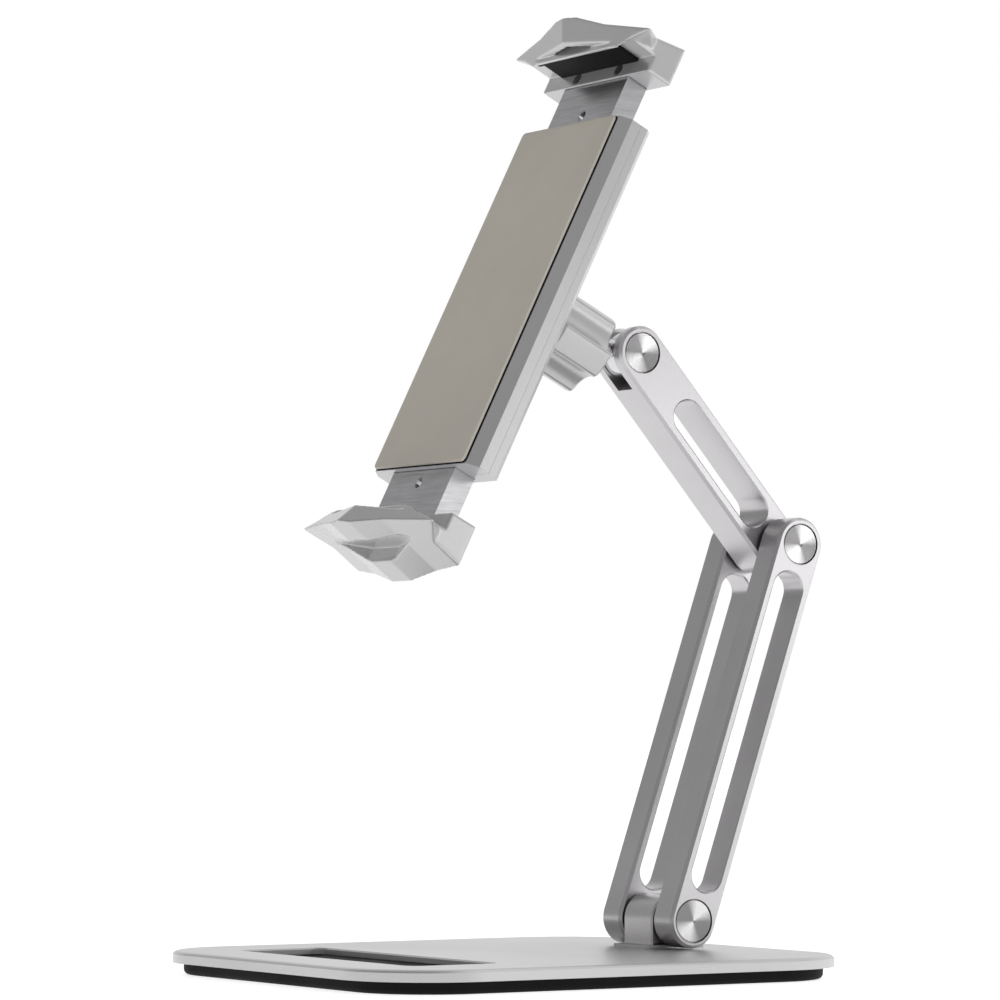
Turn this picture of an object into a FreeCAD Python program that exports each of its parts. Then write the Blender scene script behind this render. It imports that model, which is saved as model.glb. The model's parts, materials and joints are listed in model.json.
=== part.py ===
import FreeCAD, Part
import math
import os

import Sketcher

# Folding tablet stand: weighted base, two-plate lower arm, slotted upper arm, and a spring clamp on a
# ball joint. Millimetres. +X runs along the hinge axles, +Y to the back, +Z up. The origin is the centre
# of the underside of the base pad.

DIMENSIONS = (
    # base
    ("base_width", 171.0), ("base_depth", 185.0), ("base_corner", 32.0), ("base_thick", 3.9),
    ("base_bevel", 1.0), ("pad_thick", 4.1), ("pad_inset", 3.8), ("pad_round", 1.8),
    ("ballast_width", 140.0), ("ballast_depth", 154.0), ("ballast_corner", 22.0), ("ballast_thick", 2.4),
    ("tray_width", 116.0), ("tray_depth", 33.0), ("tray_sink", 2.9), ("tray_corner", 4.0),
    ("tray_forward", 53.0), ("liner_thick", 0.8), ("liner_gap", 0.2), ("tray_bevel", 0.5),
    ("ballast_screw_side", 60.0), ("ballast_screw_front", 67.0), ("ballast_screw_radius", 1.5),
    ("ballast_screw_head", 2.8), ("ballast_screw_length", 4.8),
    ("lug_screw_spacing", 5.5), ("lug_screw_radius", 2.0), ("lug_screw_head", 3.6), ("lug_screw_length", 10.6),
    # lug
    ("hinge_back", 64.3), ("hinge_height", 17.7), ("lug_half", 8.6), ("lug_round", 8.7),
    ("foot_length", 24.0), ("foot_width", 19.6), ("foot_thick", 1.2), ("foot_fillet", 1.1), ("lug_bevel", 0.6),
    # arms
    ("lower_length", 137.4), ("lower_lean", 19.3), ("upper_length", 86.9), ("upper_lean", 41.3),
    ("arm_round", 9.3), ("plate_inner", 10.1), ("side_thick", 11.5), ("arm_bevel", 1.0), ("slot_bevel", 0.5),
    ("slot_half", 6.1), ("slot_margin", 10.5), ("upper_half", 8.6), ("upper_slot_half", 5.9),
    ("upper_slot_end", 64.0), ("fork_half", 4.4), ("fork_open", 8.4),
    # hinge hardware, large hinges
    ("base_cap", 7.3), ("elbow_cap", 6.95), ("cap_thick", 1.6), ("cap_gap", 0.3), ("cap_sink", 0.1),
    ("cap_dish", 0.15), ("bolt_floor", 15.4), ("bolt_head", 5.0), ("bolt_head_thick", 4.2),
    ("bolt_radius", 3.0), ("bore_extra", 0.5), ("nut_radius", 5.0), ("nut_thick", 2.9), ("disc_thick", 1.0),
    ("disc_metal", 0.5), ("bush_radius", 4.5), ("run_gap", 0.05), ("washer_radius", 7.0),
    # hinge hardware, head hinge
    ("head_cap_thick", 1.3), ("head_floor", 5.5), ("head_bolt_head", 4.0), ("head_bolt_thick", 1.6),
    ("head_bolt_radius", 2.0), ("head_nut_thick", 1.1), ("head_nut_radius", 3.9), ("head_disc_thick", 0.5),
    ("head_disc_metal", 0.25), ("head_bush_radius", 3.0), ("head_washer_radius", 6.6),
    # ball stud, cup and locking knob
    ("screen_tilt", 27.0), ("ball_lean", 15.9), ("stud_length", 30.0), ("eye_half", 4.0), ("eye_radius", 8.0),
    ("neck_radius", 3.4), ("collar_radius", 4.1), ("collar_thick", 1.2), ("collar_place", 11.0),
    ("ball_radius", 6.0), ("ball_back", 29.0), ("cup_radius", 7.6), ("cup_front", 3.5), ("cup_rear", 3.4),
    ("boss_radius", 9.2), ("boss_end", 31.0), ("knob_near", 23.0), ("knob_far", 44.0), ("knob_radius", 14.6),
    ("flute_radius", 9.0), ("flute_place", 19.8), ("knob_shoulder", 32.5), ("knob_throat", 4.9),
    ("knob_mouth", 8.2), ("knob_round", 1.6), ("knob_bevel", 0.8), ("knob_turn", 22.0),
    # clamp housing
    ("clamp_half", 33.0), ("clamp_face_half", 29.5), ("clamp_length", 134.4), ("clamp_front", 1.6),
    ("clamp_split", 9.2), ("clamp_back", 14.0), ("clamp_wall", 2.0), ("back_edge", 2.0),
    ("channel_half", 20.2), ("rib_wall", 2.2), ("side_wall", 3.5), ("cavity_front", 3.4),
    ("cavity_back", 12.2), ("end_wall", 3.0), ("post_side", 26.0), ("post_along", 58.0), ("post_radius", 2.9),
    ("case_screw_radius", 1.2), ("case_screw_head", 2.2), ("case_screw_deep", 6.0), ("case_head_thick", 1.5),
    ("pad_half", 29.0), ("pad_half_length", 66.8), ("pad_corner", 1.6), ("pad_face_thick", 1.2),
    ("foam_proud", 0.3), ("seat_gap", 0.1), ("ball_room", 0.6), ("ball_room_end", 0.3),
    ("case_screw_short", 2.2),
    # slides and jaws
    ("jaw_seat", 89.25), ("slide_half", 20.0), ("slide_front", 3.6), ("slide_back", 12.0),
    ("slide_sheet", 2.0), ("slide_inner", 33.0), ("slide_outer", 97.0), ("slide_hole", 72.0),
    ("slide_hole_radius", 2.0), ("jaw_half", 33.0), ("jaw_back", 13.0), ("jaw_wall", 2.6),
    ("jaw_root", 4.0), ("jaw_ceiling", 2.0), ("jaw_lip_inner", 8.3), ("jaw_lip_tip", 0.8),
    ("jaw_lip_thick", 1.3), ("jaw_nose", 18.8), ("jaw_nose_high", 9.5), ("jaw_visor_edge", 1.0),
    ("jaw_visor_lean", 0.494), ("jaw_visor_wall", 2.4), ("jaw_recess_high", 6.4), ("jaw_tip_half", 42.0),
    ("jaw_tip_front", 10.4), ("jaw_tip_back", 7.0), ("jaw_tip_low", 8.6), ("jaw_tip_high", 9.3),
    ("jaw_flare", 1.0), ("jaw_cheek", 6.3), ("jaw_crown", 15.4), ("jaw_crown_half", 6.0),
    ("jaw_shoulder", 12.1), ("jaw_shoulder_half", 20.0), ("jaw_slope", 0.2),
    ("window_floor", 8.0), ("window_half", 25.0), ("window_rear", 2.5), ("window_rear_half", 9.0),
    ("window_front", 8.8), ("window_side", 3.0), ("window_side_front", 5.2), ("window_taper", 2.0),
    ("jaw_screw_side", 13.0), ("jaw_screw_drop", 0.8), ("jaw_screw_radius", 1.3), ("jaw_screw_head", 2.1),
    ("rubber_thick", 1.3), ("rubber_half", 24.0), ("rubber_short", 0.4), ("socket_gap", 0.05),
    # rack and pinion
    ("pinion_pitch", 8.0), ("tooth_count", 16.0), ("tooth_high", 0.9), ("tooth_low", 1.2),
    ("pinion_front", 6.1), ("pinion_back", 10.3), ("pinion_hole", 2.0), ("rack_front", 5.8),
    ("rack_back", 10.6), ("rack_outer", 14.0), ("rack_reach", 24.0), ("rack_root", 36.0), ("rack_end", 56.0),
    ("spring_inner", 3.0), ("spring_growth", 1.1), ("spring_turns", 3.5), ("spring_wide", 1.1),
    ("spring_metal", 0.4), ("spring_back", 11.9), ("tooth_bite", 0.01), ("pin_seat", 0.8),
)

# A tooth's half width at its root and at its tip, as a share of the pitch.
TOOTH_ROOT = 0.30
TOOTH_TIP = 0.12
# Slack when edges are picked by where they lie.
EDGE_SLACK = 0.1

doc = FreeCAD.newDocument("TabletStand")
sizes = doc.addObject("Spreadsheet::Sheet", "Sizes")
for row, (alias, value) in enumerate(DIMENSIONS, start=1):
    sizes.set(f"A{row}", alias)
    sizes.set(f"B{row}", str(value))
    sizes.setAlias(f"B{row}", alias)
doc.recompute()

Vector = FreeCAD.Vector
parts = []


# ---------------------------------------------------------------- helpers

def val(text):
    """Value of an expression written with the sheet's names."""
    return float(sizes.evalExpression(cells(text)))


def cells(text):
    """Puts the sheet's name in front of every dimension in an expression."""
    text = str(text)
    words = []
    word = ""
    for letter in text + " ":
        if letter.isalnum() or letter == "_":
            word += letter
            continue
        words.append("Sizes." + word if word in NAMES else word)
        words.append(letter)
        word = ""
    return "".join(words).strip()


NAMES = {alias for alias, value in DIMENSIONS}


def keep(item, label, spot=None):
    """Names a finished sub-part and sets where it stands."""
    item.Label = label
    if spot is not None:
        item.Placement = spot.multiply(item.Placement)
    parts.append(item)
    return item


def body(label):
    return doc.addObject("PartDesign::Body", label)


def sketch_on(owner, role, height="0", name="Outline"):
    """A sketch on one of the body's own planes, lifted along the plane's normal."""
    sketch = owner.newObject("Sketcher::SketchObject", name)
    plane = [item for item in owner.Origin.OriginFeatures if item.Role == role][0]
    sketch.AttachmentSupport = [(plane, "")]
    sketch.MapMode = "FlatFace"
    sketch.setExpression(".AttachmentOffset.Base.z", cells(height))
    return sketch


def fix_point(sketch, shape, corner, point):
    """Ties one end or centre of a sketch line to two expressions."""
    for kind, text in zip(("DistanceX", "DistanceY"), point):
        index = sketch.addConstraint(Sketcher.Constraint(kind, -1, 1, shape, corner, val(text)))
        sketch.setExpression(f"Constraints[{index}]", cells(text))


def polygon(sketch, points):
    """Closed outline through points given as expressions."""
    first = sketch.GeometryCount
    spots = [Vector(val(across), val(up), 0) for across, up in points]
    count = len(spots)
    for number in range(count):
        sketch.addGeometry(Part.LineSegment(spots[number], spots[(number + 1) % count]), False)
    for number in range(count):
        after = first + (number + 1) % count
        sketch.addConstraint(Sketcher.Constraint("Coincident", first + number, 2, after, 1))
    for number, point in enumerate(points):
        fix_point(sketch, first + number, 1, point)


def rectangle(sketch, left, right, low, high):
    polygon(sketch, ((left, low), (right, low), (right, high), (left, high)))


def circle(sketch, across, up, radius):
    index = sketch.addGeometry(
        Part.Circle(Vector(val(across), val(up), 0), Vector(0, 0, 1), val(radius)), False)
    fix_point(sketch, index, 3, (across, up))
    size = sketch.addConstraint(Sketcher.Constraint("Radius", index, val(radius)))
    sketch.setExpression(f"Constraints[{size}]", cells(radius))


def capsule(sketch, low, high, radius):
    """Long hole or round-ended bar along the sketch's vertical axis."""
    bottom, top, reach = val(low), val(high), val(radius)
    first = sketch.GeometryCount
    axis = Vector(0, 0, 1)
    upper = Part.Circle(Vector(0, top, 0), axis, reach)
    lower = Part.Circle(Vector(0, bottom, 0), axis, reach)
    sketch.addGeometry(Part.LineSegment(Vector(reach, bottom, 0), Vector(reach, top, 0)), False)
    sketch.addGeometry(Part.ArcOfCircle(upper, 0, math.pi), False)
    sketch.addGeometry(Part.LineSegment(Vector(-reach, top, 0), Vector(-reach, bottom, 0)), False)
    sketch.addGeometry(Part.ArcOfCircle(lower, math.pi, 2 * math.pi), False)
    for number in range(4):
        after = first + (number + 1) % 4
        sketch.addConstraint(Sketcher.Constraint("Tangent", first + number, 2, after, 1))
    fix_point(sketch, first + 1, 3, ("0", high))
    fix_point(sketch, first + 3, 3, ("0", low))
    size = sketch.addConstraint(Sketcher.Constraint("Radius", first + 1, reach))
    sketch.setExpression(f"Constraints[{size}]", cells(radius))


def pad(owner, sketch, length, both=False, down=False):
    feature = owner.newObject("PartDesign::Pad", "Pad")
    feature.Profile = sketch
    feature.setExpression("Length", cells(length))
    feature.Midplane = both
    feature.Reversed = down
    doc.recompute()
    return feature


def pocket(owner, sketch, length, both=False, up=False):
    """Cuts a sketch into the body and checks that metal really went."""
    before = owner.Shape.Volume
    feature = owner.newObject("PartDesign::Pocket", "Pocket")
    feature.Profile = sketch
    feature.setExpression("Length", cells(length))
    feature.Midplane = both
    feature.Reversed = up
    doc.recompute()
    if not owner.Shape.Volume < before:
        raise RuntimeError(owner.Label + ": a pocket cut nothing")
    return feature


def turned(label, points):
    """Solid of revolution about X from (along, radius) points."""
    owner = body(label)
    sketch = sketch_on(owner, "XY_Plane", name="Section")
    polygon(sketch, points)
    feature = owner.newObject("PartDesign::Revolution", "Turn")
    feature.Profile = sketch
    feature.ReferenceAxis = (sketch, ["H_Axis"])
    feature.Angle = 360
    doc.recompute()
    return owner


def dress(owner, kind, size, test):
    """Fillets or chamfers the edges of the body's last feature that pass a test."""
    base = owner.Tip
    names = [f"Edge{number}" for number, edge in enumerate(base.Shape.Edges, start=1) if test(edge)]
    feature = owner.newObject("PartDesign::" + kind, kind)
    feature.Base = (base, names)
    feature.setExpression("Radius" if kind == "Fillet" else "Size", cells(size))
    doc.recompute()
    return feature


def upright(edge):
    """True for a straight edge along Z."""
    ends = edge.Vertexes
    if len(ends) < 2:
        return False
    run = ends[1].Point - ends[0].Point
    return abs(run.x) < 1e-6 and abs(run.y) < 1e-6


def in_plane(edge, axis, height):
    """True when the whole edge lies at one height along an axis."""
    box = edge.BoundBox
    low, high = {"x": (box.XMin, box.XMax), "y": (box.YMin, box.YMax), "z": (box.ZMin, box.ZMax)}[axis]
    return abs(low - height) < 1e-4 and abs(high - height) < 1e-4


def mirrored(source, normal):
    copy = doc.addObject("Part::Mirroring", "Mirror")
    copy.Source = source
    copy.Normal = normal
    return copy


def group(label, solids, spot=None):
    """One node made of several separate solids."""
    bundle = doc.addObject("Part::Compound", label)
    bundle.Links = solids
    return keep(bundle, label, spot)


def primitive(kind, sizes_by_name, place=None):
    """A Part primitive with its sizes tied to the sheet."""
    item = doc.addObject("Part::" + kind, kind)
    for name, text in sizes_by_name.items():
        item.setExpression(name, cells(text))
    if place is not None:
        item.Placement = place
    return item


def fused(solids):
    item = doc.addObject("Part::MultiFuse", "Fuse")
    item.Shapes = solids
    return item


def cut(base, tool):
    item = doc.addObject("Part::Cut", "Cut")
    item.Base = base
    item.Tool = tool
    return item


def turn_x(degrees):
    return FreeCAD.Rotation(Vector(1, 0, 0), degrees)


def leaning(forward, length):
    """Vector of a length that leans forward from upright by an angle."""
    angle = math.radians(forward)
    return Vector(0, -math.sin(angle) * length, math.cos(angle) * length)


# ---------------------------------------------------------------- where the hinges are

BASE_HINGE = Vector(0, val("hinge_back"), val("hinge_height"))
ELBOW = BASE_HINGE + leaning(-val("lower_lean"), val("lower_length"))
HEAD = ELBOW + leaning(val("upper_lean"), val("upper_length"))
STUD_ANGLE = val("90 - screen_tilt + ball_lean")
BALL = HEAD + leaning(STUD_ANGLE, val("stud_length"))
CLAMP = BALL + leaning(val("90 - screen_tilt"), val("ball_back"))

AT_BASE_HINGE = FreeCAD.Placement(BASE_HINGE, turn_x(0))
AT_ELBOW = FreeCAD.Placement(ELBOW, turn_x(0))
AT_HEAD = FreeCAD.Placement(HEAD, turn_x(0))
ALONG_LOWER = FreeCAD.Placement(BASE_HINGE, turn_x(-val("lower_lean")))
ALONG_UPPER = FreeCAD.Placement(ELBOW, turn_x(val("upper_lean")))
ALONG_STUD = FreeCAD.Placement(HEAD, turn_x(STUD_ANGLE))
IN_CLAMP = FreeCAD.Placement(CLAMP, turn_x(val("90 - screen_tilt")))
HALF_TURN = FreeCAD.Placement(Vector(0, 0, 0), FreeCAD.Rotation(Vector(0, 0, 1), 180))
IN_CLAMP_TURNED = IN_CLAMP.multiply(HALF_TURN)


# ---------------------------------------------------------------- base

def rounded_slab(label, half_width, half_depth, low, thick, corner, middle="0"):
    """Rounded rectangle, standing on a height, centred on Y at -middle."""
    owner = body(label)
    sketch = sketch_on(owner, "XY_Plane", low)
    rectangle(sketch, f"-({half_width})", half_width, f"-({half_depth}) - {middle}", f"{half_depth} - {middle}")
    pad(owner, sketch, thick)
    dress(owner, "Fillet", corner, upright)
    return owner


def ballast_screw_holes(owner, radius, low, deep):
    sketch = sketch_on(owner, "XY_Plane", low)
    for side in ("", "-"):
        for end in ("", "-"):
            circle(sketch, side + "ballast_screw_side", end + "ballast_screw_front", radius)
    pocket(owner, sketch, deep, up=True)


def lug_screw_holes(owner, radius, low, deep):
    sketch = sketch_on(owner, "XY_Plane", low)
    for end in ("hinge_back + lug_screw_spacing", "hinge_back - lug_screw_spacing"):
        circle(sketch, "0", end, radius)
    pocket(owner, sketch, deep, up=True)


def build_base():
    top = val("pad_thick + base_thick")
    plate = rounded_slab("base_plate", "base_width / 2", "base_depth / 2", "pad_thick", "base_thick",
                         "base_corner")
    dress(plate, "Chamfer", "base_bevel", lambda edge: in_plane(edge, "z", top))
    recess = sketch_on(plate, "XY_Plane", "pad_thick + base_thick")
    rectangle(recess, "-tray_width / 2", "tray_width / 2", "-tray_forward - tray_depth / 2",
              "-tray_forward + tray_depth / 2")
    pocket(plate, recess, "tray_sink")
    floor = top - val("tray_sink")

    def tray_upright(edge):
        box = edge.BoundBox
        inside = abs(box.XMin) < val("tray_width / 2 + 1") and box.YMax < 0
        return upright(edge) and inside and abs(box.ZMin - floor) < 1e-4

    dress(plate, "Fillet", "tray_corner", tray_upright)

    def tray_rim(edge):
        box = edge.BoundBox
        across = max(abs(box.XMin), abs(box.XMax)) < val("tray_width / 2 + 1")
        return in_plane(edge, "z", top) and across and box.YMax < 0

    dress(plate, "Chamfer", "tray_bevel", tray_rim)
    ballast_screw_holes(plate, "ballast_screw_radius", "pad_thick", "base_thick - 1")
    lug_screw_holes(plate, "lug_screw_radius", "pad_thick", "base_thick")
    keep(plate, "base_plate")

    liner = rounded_slab("tray_liner", "tray_width / 2 - liner_gap", "tray_depth / 2 - liner_gap",
                         "pad_thick + base_thick - tray_sink", "liner_thick", "tray_corner", "tray_forward")
    keep(liner, "tray_liner")

    skin = rounded_slab("base_pad", "base_width / 2 - pad_inset", "base_depth / 2 - pad_inset", "0",
                        "pad_thick", "base_corner - pad_inset")
    dress(skin, "Fillet", "pad_round", lambda edge: in_plane(edge, "z", 0))
    nest = sketch_on(skin, "XY_Plane", "pad_thick")
    rectangle(nest, "-ballast_width / 2", "ballast_width / 2", "-ballast_depth / 2", "ballast_depth / 2")
    pocket(skin, nest, "ballast_thick")
    nest_floor = val("pad_thick - ballast_thick")
    dress(skin, "Fillet", "ballast_corner",
          lambda edge: upright(edge) and abs(edge.BoundBox.ZMin - nest_floor) < 1e-4)
    keep(skin, "base_pad")

    weight = rounded_slab("ballast_blank", "ballast_width / 2", "ballast_depth / 2",
                          "pad_thick - ballast_thick", "ballast_thick", "ballast_corner")
    ballast_screw_holes(weight, "ballast_screw_radius", "pad_thick - ballast_thick", "ballast_thick")
    lug_screw_holes(weight, "lug_screw_radius", "pad_thick - ballast_thick", "ballast_thick")
    sinks = []
    for side in (1, -1):
        for end in (1, -1):
            sinks.append(screw_head_cone("ballast", side * val("ballast_screw_side"),
                                         end * val("ballast_screw_front")))
    for end in (1, -1):
        sinks.append(screw_head_cone("lug", 0, val("hinge_back") + end * val("lug_screw_spacing")))
    keep(cut(weight, fused(sinks)), "ballast_plate")

    group("ballast_screws", [countersunk("ballast", side * val("ballast_screw_side"),
                                         end * val("ballast_screw_front"))
                             for side in (1, -1) for end in (1, -1)])
    group("lug_screws", [countersunk("lug", 0, val("hinge_back") + end * val("lug_screw_spacing"))
                         for end in (1, -1)])


def screw_head_cone(kind, across, back):
    """Countersunk head, point up, whose flat is level with the underside of the ballast."""
    spot = FreeCAD.Placement(Vector(across, back, val("pad_thick - ballast_thick")), turn_x(0))
    rise = f"{kind}_screw_head - {kind}_screw_radius"
    return primitive("Cone", {"Radius1": f"{kind}_screw_head", "Radius2": f"{kind}_screw_radius",
                              "Height": rise}, spot)


def countersunk(kind, across, back):
    spot = FreeCAD.Placement(Vector(across, back, val("pad_thick - ballast_thick")), turn_x(0))
    shank = primitive("Cylinder", {"Radius": f"{kind}_screw_radius", "Height": f"{kind}_screw_length"}, spot)
    return fused([screw_head_cone(kind, across, back), shank])


def build_lug():
    lug = body("hinge_lug")
    drop = "hinge_height - pad_thick - base_thick"
    block = sketch_on(lug, "YZ_Plane", name="Side")
    first_round = sketch_on(lug, "YZ_Plane", name="Round")
    circle(first_round, "0", "0", "lug_round")
    pad(lug, first_round, "2 * lug_half", both=True)
    rectangle(block, "-lug_round", "lug_round", f"-({drop})", "0")
    pad(lug, block, "2 * lug_half", both=True)
    for face in (-1, 1):
        side = face * val("lug_half")
        dress(lug, "Chamfer", "lug_bevel",
              lambda edge: in_plane(edge, "x", side) and edge.BoundBox.ZMax > val(f"-({drop})") + EDGE_SLACK)
    foot = sketch_on(lug, "XY_Plane", f"-({drop})")
    rectangle(foot, "-foot_width / 2", "foot_width / 2", "-foot_length / 2", "foot_length / 2")
    pad(lug, foot, "foot_thick")
    seam = val(f"foot_thick - ({drop})")
    dress(lug, "Fillet", "foot_fillet", lambda edge: in_plane(edge, "z", seam)
          and max(abs(edge.BoundBox.XMin), abs(edge.BoundBox.XMax)) < val("lug_half") + 2 * EDGE_SLACK
          and max(abs(edge.BoundBox.YMin), abs(edge.BoundBox.YMax)) < val("lug_round") + 2 * EDGE_SLACK)
    bore = sketch_on(lug, "YZ_Plane", name="Bore")
    circle(bore, "0", "0", "bush_radius")
    pocket(lug, bore, "2 * lug_half + 1", both=True)
    taps = sketch_on(lug, "XY_Plane", f"-({drop})", name="Taps")
    circle(taps, "0", "lug_screw_spacing", "lug_screw_radius")
    circle(taps, "0", "-lug_screw_spacing", "lug_screw_radius")
    pocket(lug, taps, "lug_screw_length - ballast_thick - base_thick", up=True)
    keep(lug, "hinge_lug", AT_BASE_HINGE)


# ---------------------------------------------------------------- hinge hardware

def build_hinge(name, spot, reach, cap, cap_thick, floor, head, head_thick, shank, nut, nut_thick, disc,
                metal, inner, eye, bush, washer):
    """Bolt, nut, spring washer, friction washers, bush and two caps about one hinge axis."""
    bolt = turned(name + "_bolt", (
        (f"-({floor} + {disc} + {nut_thick})", "0"), (f"{floor} + {head_thick}", "0"),
        (f"{floor} + {head_thick}", head), (floor, head), (floor, shank),
        (f"-({floor} + {disc} + {nut_thick})", shank)))
    keep(bolt, name + "_bolt", spot)

    prism = primitive("Prism", {"Circumradius": nut, "Height": nut_thick})
    prism.Polygon = 6
    hole = primitive("Cylinder", {"Radius": shank, "Height": nut_thick})
    hexagon = cut(prism, hole)
    place = FreeCAD.Placement(spot.Base - Vector(val(f"{floor} + {disc}"), 0, 0),
                              FreeCAD.Rotation(Vector(0, 1, 0), -90))
    keep(hexagon, name + "_nut", place)

    spring = turned(name + "_disc_spring", (
        (f"-({floor})", head), (f"-({floor} + {metal})", head), (f"-({floor} + {disc})", shank),
        (f"-({floor} + {disc} - {metal})", shank)))
    keep(spring, name + "_disc_spring", spot)

    ring = turned(name + "_washer", (
        (f"{eye} + run_gap", shank), (inner, shank), (inner, washer), (f"{eye} + run_gap", washer)))
    group(name + "_friction_washers", [ring, mirrored(ring, Vector(1, 0, 0))], spot)

    sleeve = turned(name + "_bush", (
        (f"-({eye})", f"{shank} + run_gap"), (eye, f"{shank} + run_gap"), (eye, bush), (f"-({eye})", bush)))
    keep(sleeve, name + "_bush", spot)

    outer = f"{reach} - cap_sink"
    lid = turned(name + "_cap", (
        (f"{outer} - {cap_thick}", "0"), (f"{outer} - {cap_thick}", cap), (f"{outer} - cap_gap", cap),
        (outer, f"{cap} - cap_gap"), (f"{outer} - cap_dish", "0")))
    group(name + "_caps", [lid, mirrored(lid, Vector(1, 0, 0))], spot)


def build_hinges():
    large = {"reach": "plate_inner + side_thick", "cap_thick": "cap_thick", "floor": "bolt_floor",
             "head": "bolt_head", "head_thick": "bolt_head_thick", "shank": "bolt_radius",
             "nut": "nut_radius", "nut_thick": "nut_thick", "disc": "disc_thick", "metal": "disc_metal",
             "inner": "plate_inner", "bush": "bush_radius", "washer": "washer_radius"}
    build_hinge("base_hinge", AT_BASE_HINGE, cap="base_cap", eye="lug_half", **large)
    build_hinge("elbow", AT_ELBOW, cap="elbow_cap", eye="upper_half", **large)
    build_hinge("head_hinge", AT_HEAD, reach="upper_half", cap="elbow_cap", cap_thick="head_cap_thick",
                floor="head_floor", head="head_bolt_head", head_thick="head_bolt_thick",
                shank="head_bolt_radius", nut="head_nut_radius", nut_thick="head_nut_thick",
                disc="head_disc_thick", metal="head_disc_metal", inner="fork_half", eye="eye_half",
                bush="head_bush_radius", washer="head_washer_radius")


# ---------------------------------------------------------------- arms

def sink_for_hinge(owner, along, outside, outward, cap, cap_thick, floor, head, both_sides=False):
    """Cap seat and counterbore cut into a face at x = outside."""
    for radius, deep in ((f"{cap} + cap_gap", f"{cap_thick} + cap_sink"),
                         (f"{head} + bore_extra", f"{outside} - ({floor})")):
        for sign in ((1, -1) if both_sides else (outward,)):
            sketch = sketch_on(owner, "YZ_Plane", f"{sign} * ({outside})")
            circle(sketch, "0", along, radius)
            pocket(owner, sketch, deep, up=sign < 0)


def build_lower_plates():
    """Two round-ended plates with a long slot, one on each side of the lug."""
    outside = "plate_inner + side_thick"
    for label, outward in (("lower_arm_right", 1), ("lower_arm_left", -1)):
        plate = body(label)
        near = "plate_inner" if outward > 0 else f"-({outside})"
        outline = sketch_on(plate, "YZ_Plane", near)
        capsule(outline, "0", "lower_length", "arm_round")
        pad(plate, outline, "side_thick")
        dress(plate, "Chamfer", "arm_bevel", lambda edge: in_plane(edge, "x", val(outside) * outward)
              or in_plane(edge, "x", val("plate_inner") * outward))
        slot = sketch_on(plate, "YZ_Plane", near, name="Slot")
        capsule(slot, "slot_margin + slot_half", "lower_length - slot_margin - slot_half", "slot_half")
        pocket(plate, slot, "side_thick", up=True)
        dress(plate, "Chamfer", "slot_bevel", slot_rim_test(outward, "slot_half", (outside, "plate_inner")))
        for along, cap in (("0", "base_cap"), ("lower_length", "elbow_cap")):
            sink_for_hinge(plate, along, outside, outward, cap, "cap_thick", "bolt_floor", "bolt_head")
        bores = sketch_on(plate, "YZ_Plane", near, name="Bores")
        circle(bores, "0", "0", "bolt_radius")
        circle(bores, "0", "lower_length", "bolt_radius")
        pocket(plate, bores, "side_thick", up=True)
        keep(plate, label, ALONG_LOWER)


def slot_rim_test(outward, half, faces):
    """Picks the edges of a long slot on the faces at the given distances."""
    def test(edge):
        box = edge.BoundBox
        narrow = max(abs(box.YMin), abs(box.YMax)) < val(half) + EDGE_SLACK / 2
        on_face = any(in_plane(edge, "x", val(face) * outward) for face in faces)
        return narrow and on_face
    return test


def build_upper_arm():
    arm = body("upper_arm")
    outline = sketch_on(arm, "YZ_Plane")
    capsule(outline, "0", "upper_length", "arm_round")
    pad(arm, outline, "2 * upper_half", both=True)
    for side in (1, -1):
        dress(arm, "Chamfer", "arm_bevel", lambda edge: in_plane(edge, "x", val("upper_half") * side))
    slot = sketch_on(arm, "YZ_Plane", name="Slot")
    capsule(slot, "slot_margin + upper_slot_half", "upper_slot_end - upper_slot_half", "upper_slot_half")
    pocket(arm, slot, "2 * upper_half + 1", both=True)
    for side in (1, -1):
        dress(arm, "Chamfer", "slot_bevel", slot_rim_test(side, "upper_slot_half", ("upper_half",)))
    fork = sketch_on(arm, "XZ_Plane", name="Fork")
    rectangle(fork, "-fork_half", "fork_half", "upper_length - fork_open", "upper_length + arm_round + 1")
    pocket(arm, fork, "2 * arm_round + 1", both=True)
    lower_bore = sketch_on(arm, "YZ_Plane", name="LowerBore")
    circle(lower_bore, "0", "0", "bush_radius")
    pocket(arm, lower_bore, "2 * upper_half + 1", both=True)
    sink_for_hinge(arm, "upper_length", "upper_half", 1, "elbow_cap", "head_cap_thick", "head_floor",
                   "head_bolt_head", both_sides=True)
    upper_bore = sketch_on(arm, "YZ_Plane", name="UpperBore")
    circle(upper_bore, "0", "upper_length", "head_bolt_radius")
    pocket(arm, upper_bore, "2 * upper_half + 1", both=True)
    keep(arm, "upper_arm", ALONG_UPPER)


# ---------------------------------------------------------------- ball joint

def build_ball_stud():
    sideways = FreeCAD.Rotation(Vector(0, 1, 0), 90)
    eye_start = FreeCAD.Placement(Vector(-val("eye_half"), 0, 0), sideways)
    eye = primitive("Cylinder", {"Radius": "eye_radius", "Height": "2 * eye_half"}, eye_start)
    neck = primitive("Cylinder", {"Radius": "neck_radius", "Height": "stud_length"})
    collar_spot = FreeCAD.Placement(Vector(0, 0, val("collar_place")), turn_x(0))
    collar = primitive("Cylinder", {"Radius": "collar_radius", "Height": "collar_thick"}, collar_spot)
    ball_spot = FreeCAD.Placement(Vector(0, 0, val("stud_length")), turn_x(0))
    ball = primitive("Sphere", {"Radius": "ball_radius"}, ball_spot)
    bore = primitive("Cylinder", {"Radius": "head_bush_radius", "Height": "2 * eye_half"}, eye_start)
    keep(cut(fused([eye, neck, collar, ball]), bore), "ball_stud", ALONG_STUD)


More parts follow.
